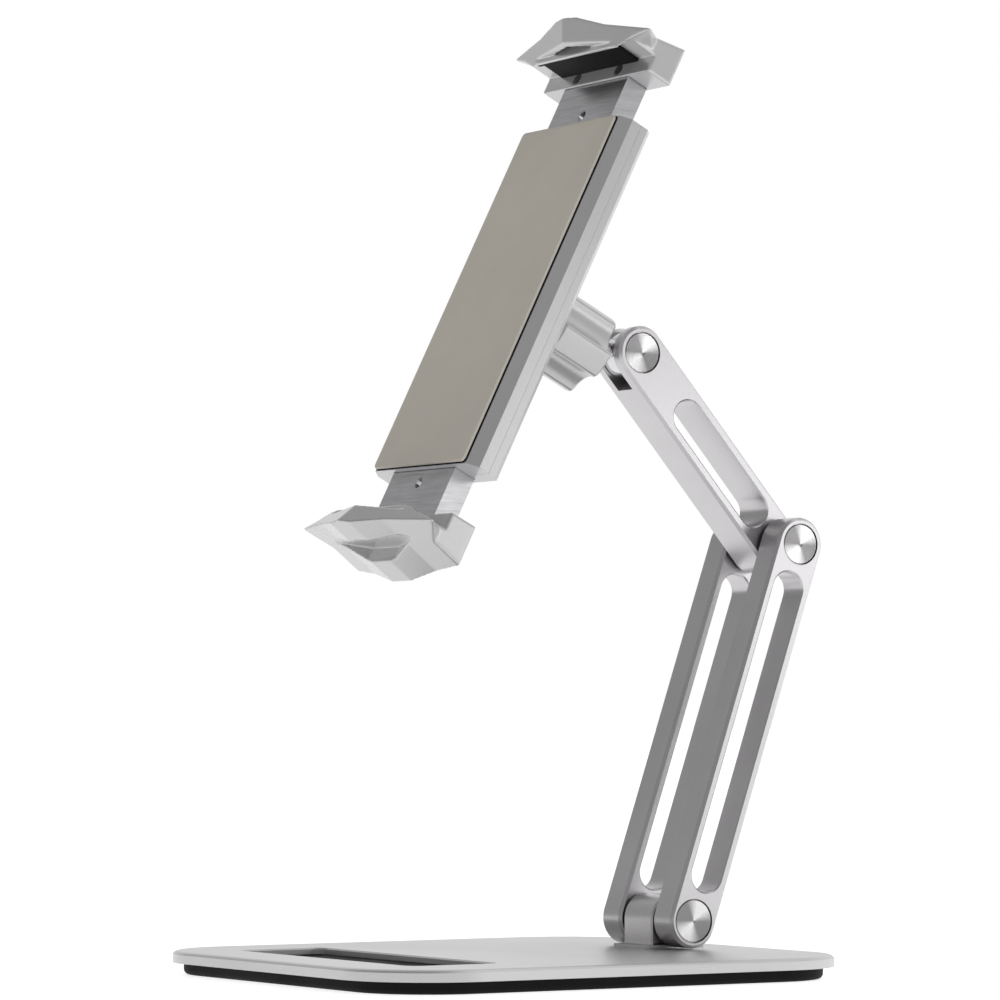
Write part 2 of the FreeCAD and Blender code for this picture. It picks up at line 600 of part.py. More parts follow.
def build_ball_cup():
    front = FreeCAD.Placement(Vector(0, 0, -val("ball_back + cup_rear")), turn_x(0))
    ring = primitive("Cylinder", {"Radius": "cup_radius", "Height": "cup_rear + cup_front"}, front)
    seat = primitive("Sphere", {"Radius": "ball_radius + run_gap"},
                     FreeCAD.Placement(Vector(0, 0, -val("ball_back")), turn_x(0)))
    keep(cut(ring, seat), "ball_cup", IN_CLAMP)


def build_knob():
    """Lobed collar nut that squeezes the cup on the ball; its rear mouth flares for the neck."""
    knob = body("locking_knob")
    disc = sketch_on(knob, "XY_Plane", "-knob_far")
    circle(disc, "0", "0", "knob_radius")
    pad(knob, disc, "knob_far - knob_near")
    flute = sketch_on(knob, "XY_Plane", "-knob_far", name="Flute")
    circle(flute, "flute_place * cos(knob_turn * 1deg)", "flute_place * sin(knob_turn * 1deg)",
           "flute_radius")
    groove = pocket(knob, flute, "knob_far - knob_near", up=True)
    pattern = knob.newObject("PartDesign::PolarPattern", "Flutes")
    pattern.Originals = [groove]
    pattern.Axis = (flute, ["N_Axis"])
    pattern.Angle = 360
    pattern.Occurrences = 4
    knob.Tip = pattern
    doc.recompute()
    dress(knob, "Fillet", "knob_round", upright)
    for height in ("-knob_far", "-knob_near"):
        dress(knob, "Chamfer", "knob_bevel", lambda edge: in_plane(edge, "z", val(height)))
    section = sketch_on(knob, "XZ_Plane", name="Bore")
    polygon(section, (("0", "-knob_near + 1"), ("boss_radius + run_gap", "-knob_near + 1"),
                      ("boss_radius + run_gap", "-knob_shoulder"), ("knob_throat", "-knob_shoulder"),
                      ("knob_mouth", "-knob_far"), ("knob_mouth", "-knob_far - 1"), ("0", "-knob_far - 1")))
    bore = knob.newObject("PartDesign::Groove", "Bore")
    bore.Profile = section
    bore.ReferenceAxis = (section, ["V_Axis"])
    bore.Angle = 360
    doc.recompute()
    keep(knob, "locking_knob", IN_CLAMP)


# ---------------------------------------------------------------- clamp housing

def long_pad(owner, points, length):
    """Extrudes a section of the clamp along its own length (local Y)."""
    sketch = sketch_on(owner, "XZ_Plane", name="Section")
    polygon(sketch, points)
    return pad(owner, sketch, length, both=True)


def slide_channel(owner, near, deep, up):
    """Channel for the slides, open at both ends, and a closed side bay on each side."""
    channel = sketch_on(owner, "XY_Plane", near, name="Channel")
    rectangle(channel, "-channel_half", "channel_half", "-clamp_length / 2 - 1", "clamp_length / 2 + 1")
    pocket(owner, channel, deep, up=up)
    bays = sketch_on(owner, "XY_Plane", near, name="Bays")
    for low, high in (("channel_half + rib_wall", "clamp_half - side_wall"),
                      ("-clamp_half + side_wall", "-channel_half - rib_wall")):
        rectangle(bays, low, high, "-clamp_length / 2 + end_wall", "clamp_length / 2 - end_wall")
    pocket(owner, bays, deep, up=up)


def post_circles(owner, height, radius):
    sketch = sketch_on(owner, "XY_Plane", height, name="Posts")
    for side in ("", "-"):
        for end in ("", "-"):
            circle(sketch, side + "post_side", end + "post_along", radius)
    return sketch


def build_housing():
    front = body("housing_front")
    long_pad(front, (("-clamp_half", "-clamp_split"), ("clamp_half", "-clamp_split"),
                     ("clamp_half", "-clamp_front - clamp_half + clamp_face_half"),
                     ("clamp_face_half", "-clamp_front"), ("-clamp_face_half", "-clamp_front"),
                     ("-clamp_half", "-clamp_front - clamp_half + clamp_face_half")), "clamp_length")
    slide_channel(front, "-clamp_split", "clamp_split - cavity_front", up=True)
    pad(front, post_circles(front, "-clamp_split", "post_radius"), "clamp_split - cavity_front")
    pocket(front, post_circles(front, "-clamp_split", "case_screw_radius"), "case_screw_deep - 2", up=True)
    pin = sketch_on(front, "XY_Plane", "-cavity_front", name="PinSeat")
    circle(pin, "0", "0", "pinion_hole - run_gap")
    pocket(front, pin, "cavity_front - clamp_front - 1", up=True)
    keep(front, "housing_front", IN_CLAMP)

    back = body("housing_back")
    long_pad(back, (("-clamp_half", "-clamp_split"), ("-clamp_half", "-clamp_back + back_edge"),
                    ("-clamp_half + back_edge", "-clamp_back"), ("clamp_half - back_edge", "-clamp_back"),
                    ("clamp_half", "-clamp_back + back_edge"), ("clamp_half", "-clamp_split")),
             "clamp_length")
    slide_channel(back, "-clamp_split", "cavity_back - clamp_split", up=False)
    boss = sketch_on(back, "XY_Plane", "-boss_end", name="Boss")
    circle(boss, "0", "0", "boss_radius")
    pad(back, boss, "boss_end - clamp_back")
    seat = sketch_on(back, "XY_Plane", "-boss_end", name="CupSeat")
    circle(seat, "0", "0", "cup_radius + run_gap")
    pocket(back, seat, "boss_end - ball_back + cup_front + seat_gap", up=True)
    room = sketch_on(back, "XY_Plane", "-ball_back + cup_front + seat_gap", name="BallRoom")
    circle(room, "0", "0", "ball_radius + ball_room")
    pocket(back, room, "ball_radius - cup_front + ball_room_end", up=True)
    pad(back, post_circles(back, "-cavity_back", "post_radius"), "cavity_back - clamp_split")
    pocket(back, post_circles(back, "-clamp_back", "case_screw_radius"), "clamp_back - clamp_split", up=True)
    pocket(back, post_circles(back, "-clamp_back", "case_screw_head"), "case_head_thick", up=True)
    pin = sketch_on(back, "XY_Plane", "-cavity_back", name="PinSeat")
    circle(pin, "0", "0", "pinion_hole - run_gap")
    pocket(back, pin, "pin_seat")
    keep(back, "housing_back", IN_CLAMP)

    screws = []
    for side in (1, -1):
        for end in (1, -1):
            spot = Vector(side * val("post_side"), end * val("post_along"), -val("clamp_back"))
            place = FreeCAD.Placement(spot, turn_x(0))
            head = primitive("Cylinder", {"Radius": "case_screw_head", "Height": "case_head_thick"}, place)
            reach = "clamp_back - clamp_split + case_screw_deep - case_screw_short"
            shank = primitive("Cylinder", {"Radius": "case_screw_radius", "Height": reach}, place)
            screws.append(fused([head, shank]))
    group("housing_screws", screws, IN_CLAMP)

    face = rounded_slab("front_pad", "pad_half", "pad_half_length", "-pad_face_thick", "pad_face_thick",
                        "pad_corner")
    keep(face, "front_pad", IN_CLAMP)
    foam = rounded_slab("pad_backing", "pad_half + foam_proud", "pad_half_length + foam_proud",
                        "-clamp_front", "clamp_front - pad_face_thick", "pad_corner")
    keep(foam, "pad_backing", IN_CLAMP)


# ---------------------------------------------------------------- slides and jaws

def build_slide(label, spot):
    """U-shaped sheet slide that carries one jaw."""
    slide = body(label)
    sheet = sketch_on(slide, "XY_Plane", "-slide_front - slide_sheet")
    rectangle(sheet, "-slide_half", "slide_half", "slide_inner", "slide_outer")
    pad(slide, sheet, "slide_sheet")
    flanges = sketch_on(slide, "XY_Plane", "-slide_back", name="Flanges")
    rectangle(flanges, "slide_half - slide_sheet", "slide_half", "slide_inner", "slide_outer")
    rectangle(flanges, "-slide_half", "-slide_half + slide_sheet", "slide_inner", "slide_outer")
    pad(slide, flanges, "slide_back - slide_front - slide_sheet / 2")
    holes = sketch_on(slide, "XY_Plane", "-slide_front", name="Holes")
    circle(holes, "0", "slide_hole", "slide_hole_radius")
    for side in ("", "-"):
        circle(holes, side + "jaw_screw_side", "jaw_seat - jaw_screw_drop", "jaw_screw_radius")
    pocket(slide, holes, "slide_sheet")
    keep(slide, label, spot)


def flat_sketch(name, place, points):
    """A free sketch for an extruded outline of the jaw."""
    sketch = doc.addObject("Sketcher::SketchObject", name)
    sketch.Placement = place
    polygon(sketch, points)
    return sketch


def extruded(sketch, direction, length, both=False):
    item = doc.addObject("Part::Extrusion", "Extrude")
    item.Base = sketch
    item.DirMode = "Custom"
    item.Dir = direction
    item.setExpression("LengthFwd", cells(length))
    item.Solid = True
    item.Symmetric = both
    return item


SIDE_VIEW = FreeCAD.Rotation(Vector(0, 1, 0), Vector(0, 0, 1), Vector(1, 0, 0), "ZXY")
PLAN_VIEW = FreeCAD.Rotation(Vector(1, 0, 0), Vector(0, 0, 1), Vector(0, -1, 0), "ZXY")


def jaw_block():
    """Faceted claw: the space common to its side, front and plan outlines and its sloping visor."""
    side = flat_sketch("JawSide", FreeCAD.Placement(Vector(0, 0, 0), SIDE_VIEW), (
        ("-jaw_root", "-jaw_back"), ("-jaw_root", "-jaw_wall"), ("jaw_ceiling", "-jaw_wall"),
        ("jaw_ceiling", "jaw_lip_inner"), ("-jaw_lip_tip", "jaw_lip_inner"),
        ("-jaw_lip_tip", "jaw_lip_inner + jaw_lip_thick"), ("jaw_visor_edge", "jaw_lip_inner + jaw_lip_thick"),
        ("jaw_visor_edge", "jaw_nose"), ("jaw_nose_high", "jaw_nose"), ("jaw_crown", "-jaw_back")))
    front = flat_sketch("JawFront", FreeCAD.Placement(Vector(0, 0, -val("jaw_back")), turn_x(0)), (
        ("-jaw_half", "-jaw_root - 1"), ("jaw_half", "-jaw_root - 1"), ("jaw_half", "jaw_cheek"),
        ("jaw_tip_half", "jaw_tip_low"), ("jaw_tip_half", "jaw_tip_high"),
        ("jaw_shoulder_half", "jaw_shoulder"), ("jaw_crown_half", "jaw_crown"),
        ("-jaw_crown_half", "jaw_crown"), ("-jaw_shoulder_half", "jaw_shoulder"),
        ("-jaw_tip_half", "jaw_tip_high"), ("-jaw_tip_half", "jaw_tip_low"), ("-jaw_half", "jaw_cheek")))
    plan = flat_sketch("JawPlan", FreeCAD.Placement(Vector(0, 0, 0), PLAN_VIEW), (
        ("-jaw_half", "-jaw_back"), ("jaw_half", "-jaw_back"), ("jaw_half", "-jaw_flare"),
        ("jaw_tip_half", "jaw_tip_back"), ("jaw_tip_half", "jaw_nose + 1"), ("-jaw_tip_half", "jaw_nose + 1"),
        ("-jaw_tip_half", "jaw_tip_back"), ("-jaw_half", "-jaw_flare")))
    block = doc.addObject("Part::MultiCommon", "JawBlock")
    block.Shapes = [
        extruded(side, Vector(1, 0, 0), "2 * jaw_tip_half + 2", both=True),
        extruded(front, Vector(0, -val("jaw_slope"), 1), "(jaw_nose + jaw_back + 1) * sqrt(1 + jaw_slope ^ 2)"),
        extruded(plan, Vector(0, 1, 0), "2 * (jaw_crown + jaw_root + 4)", both=True),
        visor_wedge("JawVisor", "0")]
    return block


def visor_wedge(name, wall):
    """Everything behind the pointed, sloping front of the claw, less a wall thickness."""
    sketch = flat_sketch(name, FreeCAD.Placement(Vector(0, val("jaw_nose_high"), 0), PLAN_VIEW), (
        ("-jaw_tip_half", "-3 * jaw_back"), ("jaw_tip_half", "-3 * jaw_back"),
        ("jaw_tip_half", f"jaw_tip_front - {wall}"), ("0", f"jaw_nose - {wall}"),
        ("-jaw_tip_half", f"jaw_tip_front - {wall}")))
    return extruded(sketch, Vector(0, 1, val("jaw_visor_lean")), "4 * (jaw_crown + jaw_root)", both=True)


def visor_recess():
    """Hollow between the straight lip and the visor."""
    side = flat_sketch("RecessSide", FreeCAD.Placement(Vector(0, 0, 0), SIDE_VIEW), (
        ("-jaw_root", "jaw_lip_inner + jaw_lip_thick"), ("-jaw_root", "jaw_nose + 1"),
        ("jaw_recess_high", "jaw_nose + 1"), ("jaw_recess_high", "jaw_lip_inner + jaw_lip_thick")))
    hollow = doc.addObject("Part::MultiCommon", "Recess")
    hollow.Shapes = [extruded(side, Vector(1, 0, 0), "2 * jaw_tip_half", both=True),
                     visor_wedge("RecessVisor", "jaw_visor_wall")]
    return hollow


def build_jaw(label, spot):
    window = flat_sketch("JawWindow", FreeCAD.Placement(Vector(0, 0, 0), PLAN_VIEW), (
        ("-window_half", "window_side"), ("-window_rear_half", "-window_rear"),
        ("window_rear_half", "-window_rear"), ("window_half", "window_side"),
        ("window_half - window_taper", "window_side_front"), ("0", "window_front"),
        ("-window_half + window_taper", "window_side_front")))
    window.Placement = FreeCAD.Placement(Vector(0, val("window_floor"), 0), PLAN_VIEW)
    well = extruded(window, Vector(0, 1, 0), "jaw_crown")
    socket = primitive("Box", {"Length": "2 * (slide_half + socket_gap)",
                               "Width": "jaw_root + slide_outer - jaw_seat + socket_gap",
                               "Height": "slide_back - slide_front + 2 * socket_gap"},
                       FreeCAD.Placement(Vector(-val("slide_half + socket_gap"), -val("jaw_root"),
                                                -val("slide_back + socket_gap")), turn_x(0)))
    tools = [well, socket, visor_recess()] + [jaw_screw(side) for side in (1, -1)]
    claw = cut(jaw_block(), fused(tools))
    keep(claw, label, spot)


def jaw_screw(side):
    """Countersunk screw from the jaw's front wall into the slide."""
    place = FreeCAD.Placement(Vector(side * val("jaw_screw_side"), -val("jaw_screw_drop"),
                                     -val("slide_front + slide_sheet")), turn_x(0))
    shank = primitive("Cylinder", {"Radius": "jaw_screw_radius",
                                   "Height": "slide_front + slide_sheet - jaw_wall"}, place)
    rise = "jaw_screw_head - jaw_screw_radius"
    seat = FreeCAD.Placement(place.Base + Vector(0, 0, val(f"slide_front + slide_sheet - jaw_wall - ({rise})")),
                             turn_x(0))
    head = primitive("Cone", {"Radius1": "jaw_screw_radius", "Radius2": "jaw_screw_head", "Height": rise},
                     seat)
    return fused([shank, head])


def build_jaw_rubber(label, spot):
    """Soft strip on the jaw's ceiling and behind its lip."""
    strip = body(label)
    section = sketch_on(strip, "YZ_Plane", name="Section")
    polygon(section, (("jaw_ceiling - rubber_thick", "-jaw_wall"), ("jaw_ceiling", "-jaw_wall"),
                      ("jaw_ceiling", "jaw_lip_inner"), ("-jaw_lip_tip + rubber_short", "jaw_lip_inner"),
                      ("-jaw_lip_tip + rubber_short", "jaw_lip_inner - rubber_thick"),
                      ("jaw_ceiling - rubber_thick", "jaw_lip_inner - rubber_thick")))
    pad(strip, section, "2 * rubber_half", both=True)
    keep(strip, label, spot)


def build_rack(label, spot):
    """Toothed bar fixed to one slide, passing the pinion on its side."""
    rack = body(label)
    bar = sketch_on(rack, "XY_Plane", "-rack_back")
    rectangle(bar, "pinion_pitch + tooth_low", "rack_outer", "-rack_reach", "rack_end")
    pad(rack, bar, "rack_back - rack_front")
    root = sketch_on(rack, "XY_Plane", "-rack_back", name="Root")
    rectangle(root, "pinion_pitch + tooth_low", "rack_outer", "rack_root", "rack_end")
    pad(rack, root, "rack_back - slide_front - slide_sheet")
    pitch = 2 * math.pi * val("pinion_pitch") / val("tooth_count")
    count = int((val("rack_reach") + val("slide_inner") - 2) / pitch)
    teeth = sketch_on(rack, "XY_Plane", "-rack_back", name="Teeth")
    start = -math.floor(val("rack_reach") / pitch - 0.5)
    for number in range(start, start + count):
        middle = number * pitch
        polygon(teeth, (("pinion_pitch + tooth_low + tooth_bite", f"{middle - pitch * TOOTH_ROOT}"),
                        ("pinion_pitch + tooth_low + tooth_bite", f"{middle + pitch * TOOTH_ROOT}"),
                        ("pinion_pitch - tooth_high", f"{middle + pitch * TOOTH_TIP}"),
                        ("pinion_pitch - tooth_high", f"{middle - pitch * TOOTH_TIP}")))
    pad(rack, teeth, "rack_back - rack_front")
    keep(rack, label, spot)


def build_pinion():
    wheel = body("pinion")
    count = int(val("tooth_count"))
    disc = sketch_on(wheel, "XY_Plane", "-pinion_back")
    points = []
    for number in range(count):
        middle = (number + 0.5) * 2 * math.pi / count
        for radius, spread in (("pinion_pitch - tooth_low", -TOOTH_ROOT),
                               ("pinion_pitch + tooth_high", -TOOTH_TIP),
                               ("pinion_pitch + tooth_high", TOOTH_TIP),
                               ("pinion_pitch - tooth_low", TOOTH_ROOT)):
            angle = middle + spread * 2 * math.pi / count
            points.append((f"({radius}) * {math.cos(angle):.6f}", f"({radius}) * {math.sin(angle):.6f}"))
    polygon(disc, points)
    circle(disc, "0", "0", "pinion_hole")
    pad(wheel, disc, "pinion_back - pinion_front")
    keep(wheel, "pinion", IN_CLAMP)

    place = FreeCAD.Placement(Vector(0, 0, -val("cavity_back + pin_seat")), turn_x(0))
    pin = primitive("Cylinder", {"Radius": "pinion_hole - run_gap",
                                 "Height": "cavity_back - cavity_front + 2 * pin_seat"}, place)
    keep(pin, "pinion_pin", IN_CLAMP)

    coil = doc.addObject("Part::Feature", "pinion_spring")
    coil.Shape = spiral_ribbon()
    keep(coil, "pinion_spring", IN_CLAMP)


def spiral_ribbon():
    """Clock spring: a flat ribbon wound on a spiral of half-circle arcs."""
    inner, growth = val("spring_inner"), val("spring_growth")
    metal, wide, back = val("spring_metal"), val("spring_wide"), val("spring_back")
    steps = int(2 * val("spring_turns"))

    def arcs(offset):
        edges = []
        for number in range(steps):
            below = number % 2
            centre = Vector(below * growth / 2, 0, 0)
            ring = Part.Circle(centre, Vector(0, 0, 1), inner + offset + number * growth / 2)
            edges.append(Part.ArcOfCircle(ring, below * math.pi, (below + 1) * math.pi).toShape())
        return edges

    outer, inside = arcs(metal), arcs(0.0)
    first = Part.LineSegment(inside[0].valueAt(inside[0].FirstParameter),
                             outer[0].valueAt(outer[0].FirstParameter)).toShape()
    final = Part.LineSegment(inside[-1].valueAt(inside[-1].LastParameter),
                             outer[-1].valueAt(outer[-1].LastParameter)).toShape()
    ordered = Part.sortEdges(outer + inside + [first, final])[0]
    ribbon = Part.Face(Part.Wire(ordered)).extrude(Vector(0, 0, wide))
    ribbon.translate(Vector(0, 0, -back))
    return ribbon


def build_clamp_moving_parts():
    up = FreeCAD.Placement(Vector(0, val("jaw_seat"), 0), turn_x(0))
    for name, frame in (("top", IN_CLAMP), ("bottom", IN_CLAMP_TURNED)):
        seat = frame.multiply(up)
        build_slide(name + "_slide", frame)
        build_rack(name + "_rack", frame)
        build_jaw(name + "_jaw", seat)
        build_jaw_rubber(name + "_jaw_rubber", seat)
        group(name + "_jaw_screws", [jaw_screw(side) for side in (1, -1)], seat)
    build_pinion()


# ---------------------------------------------------------------- check and write

def check_and_write():
    doc.recompute()
    for item in doc.Objects:
        if "Invalid" in item.State or "Error" in item.State:
            raise RuntimeError(item.Label + " failed: " + str(item.State))
    os.makedirs("parts", exist_ok=True)
    for item in parts:
        shape = item.Shape
        if shape.isNull() or not shape.isValid() or shape.Volume <= 0:
            raise RuntimeError(item.Label + " has no valid solid")
        shape.exportStep(os.path.join("parts", item.Label + ".step"))
        print(f"{item.Label:28s} {len(shape.Solids)} solid(s) {shape.Volume / 1000:9.3f} cm3")
    print(len(parts), "sub-parts")


build_base()
build_lug()
build_lower_plates()
build_upper_arm()
build_hinges()
build_ball_stud()
build_ball_cup()
build_knob()
build_housing()
build_clamp_moving_parts()
check_and_write()
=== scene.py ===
import json
import math

import bmesh
import bpy
from mathutils import Matrix, Vector


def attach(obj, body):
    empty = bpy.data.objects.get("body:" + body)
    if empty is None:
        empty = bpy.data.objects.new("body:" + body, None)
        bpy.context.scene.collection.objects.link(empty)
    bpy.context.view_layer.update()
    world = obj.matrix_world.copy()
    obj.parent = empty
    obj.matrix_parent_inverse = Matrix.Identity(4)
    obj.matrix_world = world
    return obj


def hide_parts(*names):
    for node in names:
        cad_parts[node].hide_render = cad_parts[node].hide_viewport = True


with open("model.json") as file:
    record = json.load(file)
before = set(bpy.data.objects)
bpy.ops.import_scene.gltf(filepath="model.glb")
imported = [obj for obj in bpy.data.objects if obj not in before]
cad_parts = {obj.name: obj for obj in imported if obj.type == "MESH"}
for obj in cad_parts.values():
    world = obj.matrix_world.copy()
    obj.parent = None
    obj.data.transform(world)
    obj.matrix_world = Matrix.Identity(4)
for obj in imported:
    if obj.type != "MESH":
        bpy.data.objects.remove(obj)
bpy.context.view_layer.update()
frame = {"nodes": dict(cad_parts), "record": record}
nodes = frame["nodes"]

# ------------------------------------------------------------------ camera
# Long lens, 32 degrees off the hinge axis, a touch above the base looking slightly up.

CAMERA_AT = Vector((1.28225, -0.80158, 0.08665))
LOOK = Vector((-0.84700, 0.52933, 0.04900))
SENSOR_MM = 36.0
LENS_MM = 160.6
VIEW_END = 50.0

camera_data = bpy.data.cameras.new("camera")
camera_data.sensor_width = SENSOR_MM
camera_data.lens = LENS_MM
camera_data.clip_end = VIEW_END
camera = bpy.data.objects.new("camera", camera_data)
bpy.context.scene.collection.objects.link(camera)
camera.location = CAMERA_AT
camera.rotation_euler = LOOK.to_track_quat("-Z", "Y").to_euler()
bpy.context.scene.camera = camera


# ------------------------------------------------------------------ materials

HIGHLIGHT_FAN_TURN = -1.9        # radians: where the painted highlight fans on the turned caps point
SPECK = 0.00003        # metres: height of the grain left by blasting or turning
BRUSHING = 0.00002     # metres: height of brush marks, rolling marks and orange-peel
PORES = 0.00006        # metres: height of the pores in rubber
RINGS = 130.0          # changes of tone across the width of a turned cap
BRUSH_MARKS = (4.0, 260.0, 260.0)   # how the brushing is squeezed, so that it runs along X
WHITE = (1.0, 1.0, 1.0)


class Graph:
    """Short names for building a node material."""

    def __init__(self, name):
        self.material = bpy.data.materials.new(name)
        self.material.use_nodes = True
        self.tree = self.material.node_tree
        self.shader = self.tree.nodes["Principled BSDF"]

    def node(self, kind, **values):
        item = self.tree.nodes.new("ShaderNode" + kind)
        for key, value in values.items():
            if key in item.inputs:
                item.inputs[key].default_value = value
            else:
                setattr(item, key.lower().replace(" ", "_"), value)
        return item

    def link(self, source, target):
        self.tree.links.new(source, target)

    def place(self, scale=(1, 1, 1)):
        """Object coordinates, stretched."""
        spot = self.node("TexCoord")
        mapping = self.node("Mapping")
        mapping.inputs["Scale"].default_value = scale
        self.link(spot.outputs["Object"], mapping.inputs["Vector"])
        return mapping.outputs["Vector"]

    def noise(self, where, scale, detail=4.0, rough=0.55):
        item = self.node("TexNoise", Scale=scale, Detail=detail, Roughness=rough)
        self.link(where, item.inputs["Vector"])
        return item.outputs["Fac"]

    def ramp(self, value, low, high, start=0.3, end=0.7):
        item = self.node("ValToRGB")
        item.color_ramp.elements[0].position = start
        item.color_ramp.elements[0].color = (*low, 1)
        item.color_ramp.elements[1].position = end
        item.color_ramp.elements[1].color = (*high, 1)
        self.link(value, item.inputs["Fac"])
        return item.outputs["Color"]

    def span(self, value, low, high, start=0.25, end=0.75):
        item = self.node("MapRange")
        item.inputs["From Min"].default_value = start
        item.inputs["From Max"].default_value = end
        item.inputs["To Min"].default_value = low
        item.inputs["To Max"].default_value = high
        self.link(value, item.inputs["Value"])
        return item.outputs["Result"]

    def math(self, action, first, second=0.0):
        item = self.node("Math", operation=action)
        self.link(first, item.inputs[0])
        if hasattr(second, "node"):
            self.link(second, item.inputs[1])
        else:
            item.inputs[1].default_value = second
        return item.outputs["Value"]

    def times(self, first, second):
        """Two colours multiplied; 6, 7 and 2 are the Mix node's own sockets for colour."""
        item = self.node("Mix", data_type="RGBA", blend_type="MULTIPLY")
        item.inputs[0].default_value = 1.0
        self.link(first, item.inputs[6])
        self.link(second, item.inputs[7])
        return item.outputs[2]

    def bump(self, height, distance, strength):
        item = self.node("Bump", Strength=strength, Distance=distance)
        self.link(height, item.inputs["Height"])
        return item.outputs["Normal"]

    def finish(self, color, rough, normal=None, **sockets):
        self.link(color, self.shader.inputs["Base Color"])
        self.link(rough, self.shader.inputs["Roughness"])
        if normal is not None:
            self.link(normal, self.shader.inputs["Normal"])
        for name, value in sockets.items():
            self.shader.inputs[name.replace("_", " ")].default_value = value
        return self.material


def blasted_aluminium(name, dark, light, rough):
    """Bead-blasted, anodised aluminium: a fine sparkle over slow cloudy changes."""
    graph = Graph(name)
    where = graph.place()
    cloud = graph.noise(where, scale=14.0, detail=3.0)
    speck = graph.noise(where, scale=2600.0, detail=2.0, rough=0.7)
    base = graph.ramp(cloud, dark, light)
    tint = graph.ramp(speck, (0.90, 0.90, 0.90), WHITE)
    normal = graph.bump(speck, SPECK, strength=0.15)
    return graph.finish(graph.times(base, tint), graph.span(cloud, *rough), normal, Metallic=1.0)


def satin_paint(name, dark, light, rough):
    """Silver paint with fine metal flake and a light orange-peel."""
    graph = Graph(name)
    where = graph.place()
    cloud = graph.noise(where, scale=9.0, detail=2.0)
    fleck = graph.noise(where, scale=1500.0, detail=1.0, rough=0.8)
    peel = graph.noise(where, scale=420.0, detail=2.0)
    base = graph.ramp(cloud, dark, light)
    color = graph.times(base, graph.ramp(fleck, (0.965, 0.965, 0.965), WHITE))
    normal = graph.bump(peel, BRUSHING, strength=0.2)
    return graph.finish(color, graph.span(cloud, *rough), normal, Metallic=0.55,
                        Coat_Weight=0.25, Coat_Roughness=0.18)


def spun_metal_painted_fans(name):
    """Turned cap: fine rings, and two opposite fans of painted highlight, a colour that brightens
    by angle around the cap in place of the light that turned metal catches.
    """
    graph = Graph(name)
    spot = graph.node("TexCoord")
    apart = graph.node("SeparateXYZ")
    graph.link(spot.outputs["Generated"], apart.inputs["Vector"])
    sides = {axis: graph.math("SUBTRACT", apart.outputs[axis], 0.5) for axis in ("Y", "Z")}
    angle = graph.math("ARCTAN2", sides["Z"], sides["Y"])
    turned = graph.math("ADD", graph.math("MULTIPLY", angle, 2.0), HIGHLIGHT_FAN_TURN)
    # painted highlight: the cap's colour runs from dark to bright in two opposite fans, by angle
    # around its middle
    highlight_fan_mask = graph.span(graph.math("COSINE", turned), low=0.0, high=1.0, start=-0.55, end=1.0)
    across = graph.math("MULTIPLY", sides["Y"], sides["Y"])
    up = graph.math("MULTIPLY", sides["Z"], sides["Z"])
    length = graph.math("SQRT", graph.math("ADD", across, up))
    rings = graph.node("TexNoise", Detail=5.0, Roughness=0.75)
    rings.noise_dimensions = "1D"
    graph.link(graph.math("MULTIPLY", length, RINGS), rings.inputs["W"])
    ripple = rings.outputs["Fac"]
    ringed = graph.ramp(ripple, (0.88, 0.88, 0.88), WHITE, start=0.2, end=0.8)
    painted_highlight = graph.ramp(highlight_fan_mask, (0.27, 0.265, 0.27), (0.86, 0.855, 0.86), start=0.05, end=0.9)
    tangent = graph.node("Tangent", direction_type="RADIAL", axis="X")
    graph.link(tangent.outputs["Tangent"], graph.shader.inputs["Tangent"])
    return graph.finish(graph.times(painted_highlight, ringed), graph.span(ripple, low=0.18, high=0.30),
                        graph.bump(ripple, SPECK, strength=0.6), Metallic=1.0, Anisotropic=0.7)


def brushed_plate(name, dark, light):
    """Anodised plate: faint brush marks across it and a soft, metallic sheen."""
    graph = Graph(name)
    cloud = graph.noise(graph.place(), scale=7.0, detail=2.0)
    brush = graph.noise(graph.place(BRUSH_MARKS), scale=6.0, detail=5.0, rough=0.65)
    base = graph.ramp(cloud, dark, light)
    color = graph.times(base, graph.ramp(brush, (0.93, 0.93, 0.93), WHITE))
    return graph.finish(color, graph.span(brush, low=0.30, high=0.42),
                        graph.bump(brush, BRUSHING, strength=0.4), Metallic=0.8)


def soft_rubber(name, dark, light, rough=(0.55, 0.75), grain=1500.0, depth=PORES):
    """Matt rubber or textured plastic: slow cloudy changes over fine pores."""
    graph = Graph(name)
    where = graph.place()
    cloud = graph.noise(where, scale=22.0, detail=3.0)
    pore = graph.noise(where, scale=grain, detail=3.0, rough=0.6)
    return graph.finish(graph.ramp(cloud, dark, light), graph.span(cloud, *rough),
                        graph.bump(pore, depth, strength=0.6), Specular_IOR_Level=0.12)


def plain_metal(name, dark, light, rough, stretch):
    """Rolled or turned metal with streaks along one way."""
    graph = Graph(name)
    streak = graph.noise(graph.place(stretch), scale=60.0, detail=6.0, rough=0.7)
    cloud = graph.noise(graph.place(), scale=30.0)
    return graph.finish(graph.ramp(streak, dark, light), graph.span(cloud, *rough),
                        graph.bump(streak, BRUSHING, strength=0.5), Metallic=1.0)


ALONG_X, ALONG_Z, NO_WAY = (14, 1, 1), (1, 1, 14), (1, 1, 1)   # how the streaks are squeezed

